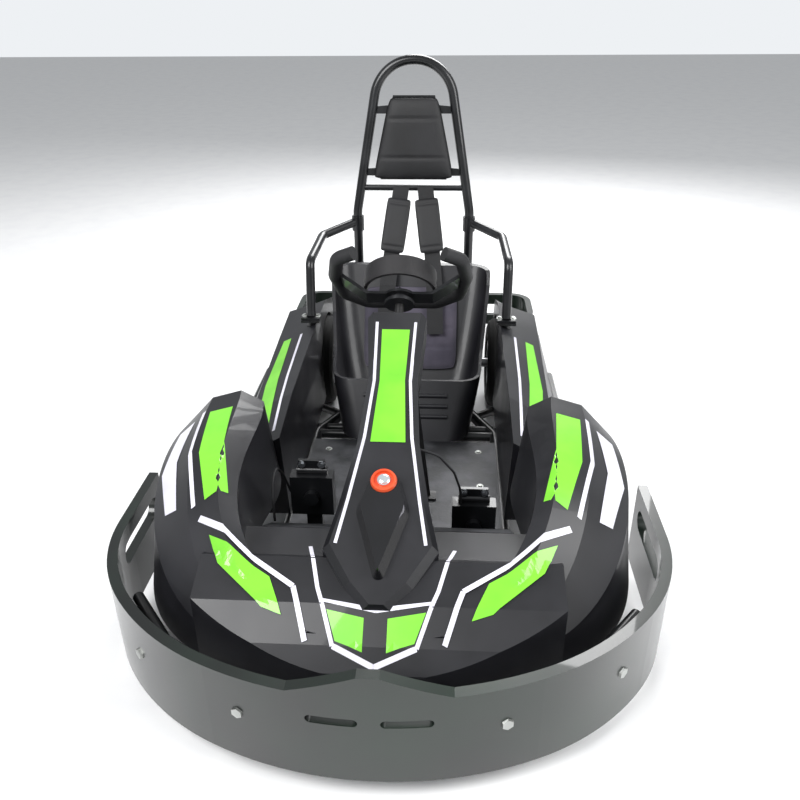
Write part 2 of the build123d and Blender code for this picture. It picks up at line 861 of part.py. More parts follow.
# Soft seat pads
back_lean = Vector(0, 0.494, 0.8695)
back_face = Vector(0, -0.8695, 0.494)
back_mid = Vector(0, 479.2, 265.0)
back_pad_t = 20.0
with BuildPart() as base_pad:
    with BuildSketch(Plane.XY.offset(floor_z + seat_t + seat_gap)):
        with Locations((0, 268)):
            RectangleRounded(300, 186, 45)
    extrude(amount=30)
    fillet(base_pad.faces().sort_by(Axis.Z)[-1].edges(), 10)
with BuildPart() as back_pad:
    with BuildSketch(Plane(origin=back_mid, x_dir=(1, 0, 0), z_dir=back_face)):
        RectangleRounded(280, 250, 50)
    extrude(amount=back_pad_t)
    fillet(back_pad.faces().sort_by(Axis(back_mid, back_face))[-1].edges(), 8)
save(base_pad.part + back_pad.part, "seat_cushions")

# Side pods: inner wall, sloping top, shoulder and outer wall over the rear wheel
pod_inner_low = 252.0
pod_inner_high = 262.0
pod_flank_z = 200.0
pod_t = 4.0
arch_r = rear_tyre_r + 11
arch_in = rear_wheel_x - rear_tyre_w / 2 - 10
arch_out = rear_wheel_x + rear_tyre_w / 2 + 7
# Sections: y, inner wall top, shoulder across and up, outer wall
pod_sections = [
    (-230.0, 290.0, 350.0, 240.0, 385.0),
    (-60.0, 316.0, 368.0, 256.0, 402.0),
    (345.0, 336.0, 374.0, 285.0, 402.0),
    (512.0, 338.0, 374.0, 300.0, 402.0),
    (655.0, 296.0, 312.0, 262.0, 330.0),
]


def pod_form(inset, drop):
    """Pod through its sections, drawn in by an inset and reaching lower by a drop."""
    with BuildPart() as form:
        for place, (y, inner_top, shoulder_x, shoulder_z, outer) in enumerate(pod_sections):
            at_y = y + inset * {0: 1, len(pod_sections) - 1: -1}.get(place, 0)
            with BuildSketch(Plane(origin=(0, at_y, 0), x_dir=(1, 0, 0), z_dir=(0, -1, 0))):
                Polygon(
                    (pod_inner_low + inset, floor_z - drop),
                    (pod_inner_high + inset, inner_top - 1.3 * inset),
                    (shoulder_x - 0.6 * inset, shoulder_z - inset),
                    (outer - inset, pod_flank_z),
                    (outer - inset, floor_z - drop),
                    align=None,
                )
        loft(ruled=True)
    return form.part


pod_shell = pod_form(0, 0) - pod_form(pod_t, 30)
with BuildPart() as side_pod:
    add(pod_shell)
    with BuildSketch(Plane.YZ.offset(arch_in)):
        with Locations((rear_axle_y, rear_tyre_r)):
            Circle(arch_r)
    extrude(amount=arch_out - arch_in, mode=Mode.SUBTRACT)
    with Locations(((arch_in + arch_out) / 2, rear_axle_y + arch_r / 2 + 10, rear_tyre_r - 25)):
        Box(arch_out - arch_in, arch_r, 110, mode=Mode.SUBTRACT)
    with BuildSketch(Plane.XY.offset(floor_z - 10)):
        with Locations((foot_x, foot_y)):
            Circle(14)
    extrude(amount=300, mode=Mode.SUBTRACT)
for piece, word in zip(both(side_pod.part), ("right", "left")):
    save(piece, f"side_pod_{word}")

# Rubbing strips along the pods
with BuildPart() as side_bumper:
    with BuildSketch(Plane.YZ.offset(pod_sections[1][4] + seat_gap)):
        with Locations((145, 153)):
            RectangleRounded(390, 90, 22)
    extrude(amount=13)
    chamfer(side_bumper.faces().sort_by(Axis.X)[-1].edges(), 4)
strips = both(side_bumper.part)
save(strips[0] + strips[1], "side_bumpers")

# Drive batteries, one block in each pod
battery = Pos(330, 75, tube_z + 12 + seat_gap + 68) * Box(80, 370, 136)
blocks = both(battery)
save(blocks[0] + blocks[1], "battery_blocks")

# Rear bumper: a band round the back with two long slots
bumper_h = 110.0
bumper_front_y = 705.0
with BuildPart() as rear_bumper:
    with BuildSketch(Plane.XY.offset(bumper_z - bumper_h / 2)):
        with Locations((0, rear_bumper_y - 120)):
            RectangleRounded(2 * rear_bumper_half, 240, 70)
            RectangleRounded(2 * (rear_bumper_half - belt_t), 240 - 2 * belt_t, 50, mode=Mode.SUBTRACT)
        with Locations((0, bumper_front_y - 50)):
            Rectangle(2 * rear_bumper_half + 20, 100, mode=Mode.SUBTRACT)
    extrude(amount=bumper_h)
    with BuildSketch(Plane.XZ.offset(-rear_bumper_y - 10)):
        with Locations((-235, bumper_z), (235, bumper_z)):
            SlotOverall(190, 40)
    extrude(amount=60, mode=Mode.SUBTRACT)
save(rear_bumper.part, "rear_bumper")

# Roll hoop with the harness bar and the head plate
neck_rise = Vector(0, hoop_neck_y - hoop_y, hoop_neck_z - hoop_knee_z).normalized()
hoop_bend = 115.0
hoop_corner_x = 100.0
hoop_corner_y = 736.0
hoop_points = [
    (hoop_half, hoop_y, tube_z + tube_r + 1),
    (hoop_half, hoop_y, hoop_knee_z),
    (hoop_corner_x, hoop_corner_y, hoop_top_z),
    (-hoop_corner_x, hoop_corner_y, hoop_top_z),
    (-hoop_half, hoop_y, hoop_knee_z),
    (-hoop_half, hoop_y, tube_z + tube_r + 1),
]
harness_bar_y = 687.0
harness_bar_z = 640.0
hoop_tube = tube(hoop_points, hoop_r, hoop_bend)
harness_bar = tube([(-158, harness_bar_y, harness_bar_z), (158, harness_bar_y, harness_bar_z)], 9, 0)
neck_plane = Plane(origin=(0, hoop_y, hoop_knee_z), x_dir=(1, 0, 0),
                   z_dir=Vector(0, hoop_knee_z - hoop_top_z, hoop_corner_y - hoop_y))
plate_half = 1.5
# Outline of one half of the head plate, with an ear to the hoop low and high
plate_half_line = [(100, 96), (100, 107), (148, 107), (145, 127), (98, 131), (72, 284), (118, 284),
                   (115, 304), (68, 308), (62, 335)]
with BuildPart() as head_plate:
    with BuildSketch(neck_plane.offset(-plate_half)):
        Polygon(*plate_half_line, *[(-x, y) for x, y in reversed(plate_half_line)], align=None)
    extrude(amount=2 * plate_half)
save(weld([hoop_tube, harness_bar, head_plate.part]), "roll_hoop")

# Headrest pad in front of the plate
with BuildPart() as headrest_pad:
    with BuildSketch(neck_plane.offset(plate_half + seat_gap)) as pad_face:
        Polygon((-124, 96), (124, 96), (72, 332), (-72, 332), align=None)
        fillet(pad_face.vertices(), 26)
    extrude(amount=32)
    fillet(headrest_pad.faces().sort_by(Axis((0, 0, 0), neck_plane.z_dir))[-1].edges(), 11)
save(headrest_pad.part, "headrest_pad")

# Braces from the hoop to the posts beside the seat
collar_z = 533.0
collar_h = 44.0
brace_points = [(186, 667, 536), (270, 579, 520), (279, 390, 501), (foot_x, foot_y, foot_z + 6)]
brace = tube(brace_points, hoop_r - 1, 30)
foot_plate = Pos(foot_x, foot_y, foot_z + 3 + seat_gap) * Box(52, 40, 6)
collar = Pos(hoop_half, hoop_y, collar_z) * Cylinder(hoop_r + 5, collar_h)
brace_bore = Pos(hoop_half, hoop_y, collar_z) * Cylinder(hoop_r + 0.15, 2 * collar_h)
braces = both(weld([brace, foot_plate, collar]) - brace_bore)
save(braces[0] + braces[1], "hoop_braces")


# Harness: straps as flat runs, pads on the shoulder runs, a buckle on the seat
def strap(start, end, width, thick, lift):
    """Flat strap between two points, raised off its line along its upper face."""
    start, end = Vector(*start), Vector(*end)
    run = end - start
    face = Vector(1, 0, 0).cross(run).normalized()
    if face.Z < 0:
        face = face * -1
    with BuildPart() as band:
        with BuildSketch(Plane(origin=(start + end) / 2 + face * lift, x_dir=run, z_dir=face)):
            Rectangle(run.length, width)
        extrude(amount=thick)
    return band.part


strap_w = 48.0
strap_t = 2.5
strap_top = (36.0, 679.5, 646.0)
strap_over = (62.0, 580.0, 462.0)
strap_seat = (70.0, 512.0, 388.0)
strap_end = (76.0, 440.0, 262.0)
strap_pieces = weld([
    strap(strap_top, strap_over, strap_w, strap_t, 0),
    strap(strap_over, strap_seat, strap_w, strap_t, 0),
    strap(strap_seat, strap_end, strap_w, strap_t, 0),
])
lap_z = floor_z + seat_t + 30 + 2 * seat_gap
lap_strap = Pos(96, 288, lap_z + strap_t / 2) * Rot(0, 0, 38) * Box(110, strap_w, strap_t)
shoulder_straps = both(strap_pieces)
save(shoulder_straps[0] + shoulder_straps[1] + lap_strap, "harness_straps")

pad_from = (40.0, 658.0, 612.0)
pad_to = (61.0, 583.0, 468.0)
shoulder_pads = both(strap(pad_from, pad_to, 74, 11, strap_t + 0.1 + seat_gap))
save(shoulder_pads[0] + shoulder_pads[1], "harness_pads")

with BuildPart() as harness_buckle:
    with BuildSketch(Plane(origin=(22, 230, lap_z), x_dir=(cos(radians(38)), sin(radians(38)), 0), z_dir=(0, 0, 1))):
        RectangleRounded(66, 54, 12)
    extrude(amount=9)
    fillet(harness_buckle.faces().sort_by(Axis.Z)[-1].edges(), 3)
save(harness_buckle.part, "harness_buckle")

# Pedals: place along the kart and top of the pedal box
pedal_sets = [("throttle_pedal", -pedal_x, -330.0, 262.0), ("brake_pedal", pedal_x, -366.0, 225.0)]
pedal_w = 92.0
pedal_h = 95.0
pedal_d = 34.0
for name, x, y, top in pedal_sets:
    stand_z = floor_z + floor_t + seat_gap
    with BuildPart() as pedal:
        with Locations((x, y + 6, stand_z + 2.5)):
            Box(80, 52, 5)
        with Locations((x, y + 4, stand_z + (top - stand_z - 70) / 2)):
            Box(34, 14, top - stand_z - 70)
        with Locations((x, y, top - pedal_h / 2)):
            Box(pedal_w, pedal_d, pedal_h)
        with BuildSketch(Plane.XZ.offset(-y + pedal_d / 2)):
            with Locations((x, top - pedal_h / 2)):
                Circle(16)
        extrude(amount=14)
        with BuildSketch(Plane.YZ.offset(x - 33)):
            with Locations((y + 6, top + 5)):
                Circle(8)
        extrude(amount=66)
        with Locations((x, y + 6, top + 18)):
            Box(58, 8, 26)
    save(pedal.part, name)

# Control wires of the pedals
wire_r = 2.5
wire_runs = [
    [(60.6, -400, 371.6), (98, -396, 356), (130, -388, 312), (143, -380, 268), (147, -374, 225.6)],
    [(-223.2, -330, 215), (-234, -338, 262), (-240, -366, 300), (-240, -404, 300), (-238, -432, 262), (-236, -440, 216)],
]
wires = []
for run in wire_runs:
    bend = 36.0
    wires.append(tube(run, wire_r, bend))
    print("wire bend radius", bend)
save(wires[0] + wires[1], "pedal_wires")
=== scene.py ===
"""Looks of the electric kart, in the order in which its pieces are put together."""
from math import cos, pi, radians, sin

import bmesh
import bpy
from mathutils import Matrix, Vector
from mathutils.bvhtree import BVHTree


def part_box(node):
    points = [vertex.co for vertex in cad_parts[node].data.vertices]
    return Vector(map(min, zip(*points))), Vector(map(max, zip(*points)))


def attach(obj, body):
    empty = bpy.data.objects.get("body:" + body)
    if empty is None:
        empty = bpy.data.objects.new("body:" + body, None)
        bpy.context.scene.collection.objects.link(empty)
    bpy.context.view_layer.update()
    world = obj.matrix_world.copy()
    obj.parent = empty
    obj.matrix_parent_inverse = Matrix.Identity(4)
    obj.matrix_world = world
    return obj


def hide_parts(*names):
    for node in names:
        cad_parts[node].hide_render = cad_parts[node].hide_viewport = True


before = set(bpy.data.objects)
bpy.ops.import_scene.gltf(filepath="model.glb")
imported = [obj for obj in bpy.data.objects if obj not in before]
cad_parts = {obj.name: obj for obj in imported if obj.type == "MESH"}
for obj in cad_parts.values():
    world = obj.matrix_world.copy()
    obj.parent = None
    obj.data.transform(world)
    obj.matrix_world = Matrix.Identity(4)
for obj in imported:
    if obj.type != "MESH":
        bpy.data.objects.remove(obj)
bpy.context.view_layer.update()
scene = bpy.context.scene
across_kart = Vector((1, 0, 0))


# Frame: rails, cross tubes, steering post and knuckles, welded from round steel tube and
# blasted plate, then powder coated in satin black before the axles and rods go in.
def colour(code):
    """Linear colour from a hex sRGB code."""
    parts = [int(code[i:i + 2], 16) / 255 for i in (1, 3, 5)]
    return [c / 12.92 if c <= 0.04045 else ((c + 0.055) / 1.055) ** 2.4 for c in parts] + [1.0]


def node(tree, kind, values=None, feeds=None, **settings):
    """One shader node with its settings, its input values and the sockets that feed it."""
    made = tree.nodes.new(kind)
    for setting, value in settings.items():
        setattr(made, setting, value)
    for socket, value in (values or {}).items():
        made.inputs[socket].default_value = value
    for socket, source in (feeds or {}).items():
        tree.links.new(source, made.inputs[socket])
    return made


def finish(name, base, worn, rough, metal=0.0, coat=0.0, spread=0.12, patch=9.0,
           grain=400.0, bump=0.1, weave=0):
    """Surface with a worn tint in patches, uneven gloss, and a fine grain or a weave in relief.

    patch and grain are about the patches and bumps in one metre, and weave a third of the threads.
    """
    material = bpy.data.materials.new(name)
    material.use_nodes = True
    tree = material.node_tree
    place = node(tree, "ShaderNodeTexCoord").outputs["Object"]
    broad = node(tree, "ShaderNodeTexNoise", {"Scale": patch, "Detail": 6}, {"Vector": place}).outputs["Fac"]
    tint = node(tree, "ShaderNodeValToRGB", feeds={"Fac": broad})
    for stop, position, code in zip(tint.color_ramp.elements, (0.42, 0.72), (base, worn)):
        stop.position = position
        stop.color = colour(code)
    rough_range = {"To Min": max(0.02, rough - spread), "To Max": min(1.0, rough + spread)}
    gloss = node(tree, "ShaderNodeMapRange", rough_range, {"Value": broad})
    if weave:
        waves = [
            node(tree, "ShaderNodeTexWave", {"Scale": weave}, {"Vector": place}, bands_direction=way)
            for way in ("X", "Z")
        ]
        threads = {count: wave.outputs["Fac"] for count, wave in enumerate(waves)}
        height = node(tree, "ShaderNodeMath", feeds=threads, operation="MULTIPLY").outputs[0]
    else:
        pebbles = node(tree, "ShaderNodeTexNoise", {"Scale": grain, "Detail": 3}, {"Vector": place})
        height = pebbles.outputs["Fac"]
    relief = node(tree, "ShaderNodeBump", {"Strength": bump, "Distance": 0.001}, {"Height": height})
    shader = tree.nodes["Principled BSDF"]
    tree.links.new(tint.outputs["Color"], shader.inputs["Base Color"])
    tree.links.new(gloss.outputs["Result"], shader.inputs["Roughness"])
    tree.links.new(relief.outputs["Normal"], shader.inputs["Normal"])
    shader.inputs["Metallic"].default_value = metal
    shader.inputs["Coat Weight"].default_value = coat
    shader.inputs["Sheen Weight"].default_value = 0.3 if weave else 0.0
    return material


def dress(material, *names):
    """One material on the whole of each named node."""
    for name in names:
        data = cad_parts[name].data
        data.materials.clear()
        data.materials.append(material)


# Powder coat on steel: near black, with a soft orange-peel relief and a dull shine
frame_steel = finish("frame_steel", "#191a1c", "#2b2a2a", 0.38, metal=0.3, bump=0.15, coat=0.2)
dress(frame_steel, "chassis_frame", "nose_frame", "steering_post", "steering_column")
dress(frame_steel, "knuckle_left", "knuckle_right")

# Hoop, braces, steering plate and pedals: bent tube and cut plate, painted a glossier black
# than the frame because hands and harness rub it and it is wiped down.
black_steel = finish("black_steel", "#101113", "#232427", 0.33, metal=0.2, bump=0.12, coat=0.3)
dress(black_steel, "steering_plate", "roll_hoop", "hoop_braces", "brake_pedal", "throttle_pedal")

# Tie rods, live rear axle and brake disc: bright drawn or turned steel, left bare, so that
# the light runs along them and handling marks show as duller patches.
bright_steel = finish("bright_steel", "#9b9b9d", "#77787a", 0.30, metal=1.0, bump=0.15)
dress(bright_steel, "tie_rod_left", "tie_rod_right", "rear_axle", "brake_disc")

# Rims, caliper and motor: cast aluminium, bare after casting and turning, so that its grainy
# skin breaks the shine into grey.
rim_alloy = finish("rim_alloy", "#8d8f93", "#6c6e72", 0.36, metal=0.9, bump=0.25)
dress(rim_alloy, "front_rim_left", "front_rim_right", "rear_rims", "brake_caliper", "motor")

# Tyres: moulded slick rubber, pressed onto the seats of the rims and scrubbed dull and faintly
# pebbled by the track.
tyre_rubber = finish("tyre", "#141414", "#232221", 0.78, grain=350, bump=0.45, spread=0.08)
dress(tyre_rubber, "front_tyre_left", "front_tyre_right", "rear_tyre_left", "rear_tyre_right")

# Batteries: moulded polypropylene cases, carried low in the kart, dark grey and left with the
# slight shine of their mould.
battery_case = finish("battery_case", "#26282c", "#34363a", 0.5)
dress(battery_case, "battery_blocks")


# Floor tray: pressed steel sheet, painted dark grey and scuffed pale by shoes, held down by
# six small zinc-plated bolts in two rows.
def piece(name, mesh, material, body="chassis"):
    """A finished mesh as a piece that rides on a body."""
    data = bpy.data.meshes.new(name)
    bmesh.ops.recalc_face_normals(mesh, faces=mesh.faces)
    mesh.to_mesh(data)
    mesh.free()
    obj = bpy.data.objects.new(name, data)
    scene.collection.objects.link(obj)
    data.materials.append(material)
    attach(obj, body)
    return obj


def bolts(name, spots, radius, height, material, body="chassis"):
    """Hex-headed bolts, each standing with its washer on a spot along an axis, as one piece."""
    mesh = bmesh.new()
    draft = 0.94
    washer = (24, 1.5 * radius, 0.0, 0.25 * height)
    head = (6, radius, 0.25 * height, height)
    for spot, axis in spots:
        stand = Matrix.Translation(spot) @ Vector(axis).to_track_quat("Z", "Y").to_matrix().to_4x4()
        for sides, r, low, high in (washer, head):
            middle = Matrix.Translation((0, 0, (low + high) / 2))
            bmesh.ops.create_cone(mesh, cap_ends=True, segments=sides, radius1=r, radius2=draft * r,
                                  depth=high - low, matrix=stand @ middle)
    return piece(name, mesh, material, body)


tray_paint = finish("tray_steel", "#2a2b2e", "#55565a", 0.45, metal=0.4, grain=160, bump=0.3, patch=14)
# Zinc plate: pale grey metal with a faint, uneven bloom
zinc = finish("zinc", "#b9bbb8", "#8e908c", 0.38, metal=1.0, grain=250, bump=0.2)
dress(tray_paint, "floor_tray")
tray_top = 0.0853
tray_spots = [((x, y, tray_top), (0, 0, 1)) for x in (-0.2, 0.2) for y in (-0.25, -0.1, 0.06)]
bolts("tray_bolts", tray_spots, 0.006, 0.004, zinc)

# Pedals: bent plate arms with flat foot plates, each held by two chromed bolts that stand
# proud of the plate and face the driver's shoe, with a rubber-sheathed wire beside them.
# Soft black rubber, dull and finely pebbled
rubber = finish("grip_rubber", "#101012", "#1c1c1f", 0.62, grain=1200, bump=0.5)
# Chrome: mirror-bright, with almost no grain
chrome = finish("chrome", "#dadde0", "#c2c5c8", 0.08, metal=1.0, bump=0.02, spread=0.04)
dress(rubber, "pedal_wires")
pedal_plates = ((-0.174, -0.324, 0.262), (0.174, -0.360, 0.225))
pedal_bolt_apart = 0.0215
pedal_bolt_out = 0.004
pedal_bolt_up = 0.022
pedal_spots = [
    ((x + dx, y - pedal_bolt_out, top + pedal_bolt_up), (0, -1, 0))
    for x, y, top in pedal_plates
    for dx in (-pedal_bolt_apart, pedal_bolt_apart)
]
bolts("pedal_bolts", pedal_spots, 0.006, 0.006, chrome)

# Steering wheel: a flat plate with rubber side grips and a leather-covered band, on a hub that
# sits below the plane of the grips and is fixed by three chromed bolts in a ring.
# Leather: warmer black with a coarser, deeper grain
grip_leather = finish("grip_leather", "#161517", "#242224", 0.5, grain=700, bump=0.8)
dress(rubber, "steering_grips")
dress(grip_leather, "steering_band")
column_tilt = radians(40)
column_dir = Vector((0, cos(column_tilt), sin(column_tilt)))
wheel_up = Vector((0, -sin(column_tilt), cos(column_tilt)))
wheel_centre = Vector((0, 0.008, 0.587))
hub_dish = 0.072
hub_front = 0.0243
hub_ring = 0.024
hub_face = wheel_centre - column_dir * (hub_dish - hub_front)
hub_spots = [
    (hub_face + (across_kart * cos(turn) + wheel_up * sin(turn)) * hub_ring, column_dir)
    for turn in (pi / 2, pi / 2 + 2 * pi / 3, pi / 2 - 2 * pi / 3)
]
bolts("hub_bolts", hub_spots, 0.0055, 0.006, chrome, "steering")

# Hoop braces: bent tubes that prop the hoop, each ending in a foot plate that two zinc-plated
# bolts hold down, one on each side of the tube.
brace_x, brace_y, brace_top = 0.277, 0.345, 0.3543
brace_apart = 0.019
brace_spots = [
    ((side * brace_x + dx, brace_y, brace_top), (0, 0, 1))
    for side in (-1, 1)
    for dx in (-brace_apart, brace_apart)
]
bolts("brace_bolts", brace_spots, 0.006, 0.005, zinc)


# Nose belt and bumpers: a thick band of black-green polyethylene, bent round the kart and
# buffed shiny by knocks, with four zinc-plated bolts let into its front.
trees = {}


def surface(name):
    """Search tree of a node's surface."""
    if name not in trees:
        mesh = bmesh.new()
        mesh.from_mesh(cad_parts[name].data)
        trees[name] = BVHTree.FromBMesh(mesh)
        mesh.free()
    return trees[name]


belt_plastic = finish("belt_plastic", "#050907", "#0c2014", 0.34, grain=500, bump=0.06, coat=0.6, patch=3.5)
dress(belt_plastic, "nose_belt", "side_bumpers", "rear_bumper")
belt_bolt_z = 0.150
belt_bolt_sunk = 0.003
belt_aim = 0.3
belt_spots = []
for x, y, lean in ((0.420, -0.748, 0.55), (0.218, -0.865, 0.22)):
    for side in (-1, 1):
        axis = Vector((side * lean, -1, 0)).normalized()
        start = Vector((side * x, y, belt_bolt_z)) + axis * belt_aim
        hit, normal, _, _ = surface("nose_belt").ray_cast(start, -axis)
        belt_spots.append((hit - normal * belt_bolt_sunk, normal))
bolts("belt_bolts", belt_spots, 0.011, 0.007, zinc)


# Front fairing: two fender forms and a nose deck, moulded in one shell of black ABS with a
# satin skin, and striped in cut vinyl: a white V at the nose, green and white blades beside it.
def mm(*points):
    """Points in millimetres as metres."""
    return [tuple(c / 1000 for c in point) for point in points]


def mirrored(points):
    """The same points on the other side of the kart."""
    return [(-x, y) for x, y in points]


hands = (("right", list), ("left", mirrored))
above_kart = 1.8
film = 0.0007
film_step = 0.012
film_rounds = 7


def flat(points):
    """One outline in plan, held above the kart."""
    return [[Vector((x, y, above_kart)) for x, y in points]]


def ribbon(points, width):
    """Outlines of a line of a given width through points in plan, held above the kart."""
    outlines = []
    for start, end in zip(points, points[1:]):
        start, end = Vector((*start, above_kart)), Vector((*end, above_kart))
        across = (end - start).normalized().cross(Vector((0, 0, 1))) * width / 2
        outlines.append([start + across, end + across, end - across, start - across])
    return outlines


def stripe(name, under, outlines, material):
    """A thin vinyl film cut to outlines in plan and laid down on a node."""
    mesh = bmesh.new()
    for outline in outlines:
        mesh.faces.new([mesh.verts.new(point) for point in outline])
    bmesh.ops.triangulate(mesh, faces=mesh.faces)
    for _ in range(film_rounds):
        long_edges = [e for e in mesh.edges if e.calc_length() > film_step]
        if not long_edges:
            break
        bmesh.ops.subdivide_edges(mesh, edges=long_edges, cuts=1)
        bmesh.ops.triangulate(mesh, faces=[f for f in mesh.faces if len(f.verts) > 3])
    past_the_node = []
    for vert in mesh.verts:
        hit, normal, _, _ = surface(under).ray_cast(vert.co, Vector((0, 0, -1)), 2.0)
        if hit is None:
            past_the_node.append(vert)
        else:
            vert.co = hit + (-normal if normal.z < 0 else normal) * film
    bmesh.ops.delete(mesh, geom=past_the_node, context="VERTS")
    torn = [f for f in mesh.faces if max(e.calc_length() for e in f.edges) > 4 * film_step]
    bmesh.ops.delete(mesh, geom=torn, context="FACES")
    return piece(name, mesh, material)


# Moulded ABS: charcoal, with a fine spark-eroded grain that keeps its highlights soft
body_plastic = finish("body_plastic", "#141418", "#1d1d22", 0.42, grain=900, bump=0.12, coat=0.15)
# Cast vinyl film: flat, strong colour under a smooth, slightly glossy face
green_vinyl = finish("green_vinyl", "#7fd934", "#6cc329", 0.32, coat=0.5, bump=0.05)
white_vinyl = finish("white_vinyl", "#e6e4f0", "#cfcdd9", 0.34, coat=0.4, bump=0.05)
dress(body_plastic, "front_fairing", "console_cover", "side_pod_left", "side_pod_right")
dress(body_plastic, "seat_shell", "chain_case")
nose_line = mm((-132, -603), (-104, -706), (-70, -790), (0, -812), (70, -790), (104, -706), (132, -603))
nose_cross = mm((-96, -728), (0, -742), (96, -728))
nose_bar = mm((20, -752), (84, -742), (66, -784), (20, -796))
lamp_edge = mm((338, -585), (146, -706), (116, -786))
lamp_blade = mm((312, -618), (190, -690), (160, -752), (196, -742), (286, -668))
fender_stripe = mm((338, -300), (324, -430), (292, -544), (334, -556), (374, -440), (388, -300))
fender_line = mm((404, -290), (396, -430), (356, -560))
flank_blade = mm((424, -300), (430, -420), (398, -540), (426, -530), (466, -420), (460, -300))
stripe("nose_outline", "front_fairing", ribbon(nose_line, 0.007), white_vinyl)
stripe("nose_cross_line", "front_fairing", ribbon(nose_cross, 0.006), white_vinyl)
for hand, turned in hands:
    stripe(f"nose_bar_{hand}", "front_fairing", flat(turned(nose_bar)), green_vinyl)
    edge = stripe(f"lamp_edge_{hand}", "front_fairing", ribbon(turned(lamp_edge), 0.009), white_vinyl)
    blade = stripe(f"lamp_blade_{hand}", "front_fairing", flat(turned(lamp_blade)), green_vinyl)
    # These two cross the fold of the lamp panel, so they stand a little further off
    for film_piece in (edge, blade):
        film_piece.data.transform(Matrix.Translation((0, -film, 2 * film)))
    stripe(f"fender_stripe_{hand}", "front_fairing", flat(turned(fender_stripe)), green_vinyl)
    stripe(f"fender_line_{hand}", "front_fairing", ribbon(turned(fender_line), 0.008), white_vinyl)
    stripe(f"flank_blade_{hand}", "front_fairing", flat(turned(flank_blade)), white_vinyl)

# Console: a moulded cover over the steering column with a green field between white lines, and
# a hump of polished acrylic on its front that carries the start button.
gloss_black = finish("gloss_black", "#08080a", "#101014", 0.10, bump=0.02, coat=1.0)
dress(gloss_black, "console_hump")
console_field = mm((-30, -170), (30, -170), (26, -300), (34, -440), (-34, -440), (-26, -300))
console_line = mm((42, -150), (37, -300), (46, -430), (66, -560), (80, -640))
stripe("console_green", "console_cover", flat(console_field), green_vinyl)
for hand, turned in hands:
    stripe(f"console_line_{hand}", "console_cover", ribbon(turned(console_line), 0.006), white_vinyl)

# Side pods: moulded in the same black ABS as the fairing, with a wedge of green film and a line
# of white film on the sloping top.
pod_wedge = mm((300, -190), (334, -190), (356, 60), (352, 300), (330, 300), (322, 60))
pod_line = mm((284, -190), (296, 60), (300, 300))
for hand, turned in hands:
    stripe(f"pod_wedge_{hand}", f"side_pod_{hand}", flat(turned(pod_wedge)), green_vinyl)
    stripe(f"pod_line_{hand}", f"side_pod_{hand}", ribbon(turned(pod_line), 0.007), white_vinyl)

# Start button: an orange-red moulded ring, glossy from its mould and set into the hump, with a
# low clear lens in the middle.
red_plastic = finish("button_red", "#d8421c", "#e8643a", 0.28, coat=0.6, bump=0.04)
# Clear lens over a bright reflector, so it is pale and mirrors a little
lens = finish("button_lens", "#c9d2d6", "#e6eaec", 0.12, metal=0.6, bump=0.02)
dress(red_plastic, "start_button")
lens_r = 0.0125
lens_rise = 0.45
lens_out = 0.004
button_low, button_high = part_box("start_button")
button_up = Vector((0, -0.447, 1)).normalized()
button_stand = Matrix.Translation((button_low + button_high) / 2 + button_up * lens_out)
button_turn = button_up.to_track_quat("Z", "Y").to_matrix().to_4x4()
mesh = bmesh.new()
bmesh.ops.create_uvsphere(mesh, u_segments=32, v_segments=16, radius=lens_r,
                          matrix=button_stand @ button_turn @ Matrix.Diagonal((1, 1, lens_rise, 1)))
for face in mesh.faces:
    face.smooth = True
piece("button_lens", mesh, lens)


# Headrest: a foam pad sewn into black vinyl, narrower at the top, with two stitched seams, on
# the hoop's head plate.
def cushion(name, stands_for, low, high, widths, plane, thick, crown, material, seams):
    """A pad on a plane, swelling between its edges and dipping at its seams.

    widths are the half widths at its low and high ends. plane is its origin on the back face,
    then the directions across it, along it and out of it.
    """
    origin, across, along, out = plane
    cells = 48
    seam_deep = 0.004
    seam_wide = 0.006
    corner_in = 0.055
    weld_gap = 0.0004
    middle = (high + low) / 2
    mesh = bmesh.new()
    for front in (True, False):
        made = bmesh.ops.create_grid(mesh, x_segments=cells, y_segments=cells, size=1.0)
        for vert in made["verts"]:
            u, v = vert.co.x, vert.co.y
            y = low + (high - low) * (v + 1) / 2
            half = widths[0] + (widths[1] - widths[0]) * (v + 1) / 2
            inside = (1 - abs(u) ** 5) * (1 - abs(v) ** 5)
            swell = max(inside, 0.0) ** 0.45
            corner = 1 - corner_in * abs(u) ** 6 * abs(v) ** 6
            height = thick * (0.5 + (0.5 if front else -0.5) * swell)
            if front:
                height += crown * (inside - 1)
                for seam in seams:
                    height -= seam_deep * max(0.0, 1 - abs(y - seam) / seam_wide) * inside
            run = middle + (y - middle) * corner
            vert.co = origin + across * u * half * corner + along * run + out * height
    bmesh.ops.remove_doubles(mesh, verts=mesh.verts, dist=weld_gap)
    for face in mesh.faces:
        face.smooth = True
    obj = piece(name, mesh, material)
    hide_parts(stands_for)
    return obj


# Upholstery vinyl: soft black with a leathery grain
pad_vinyl = finish("pad_vinyl", "#121214", "#1e1e21", 0.55, grain=600, bump=0.7)
head_along = Vector((0, 59, 427)).normalized()
head_out = across_kart.cross(head_along)
head_plane = (Vector((0, 0.677, 0.569)) + head_out * 0.0018, across_kart, head_along, head_out)
cushion("headrest_cushion", "headrest_pad", 0.098, 0.330, (0.122, 0.072), head_plane, 0.031, 0.003,
        pad_vinyl, seams=(0.16, 0.27))

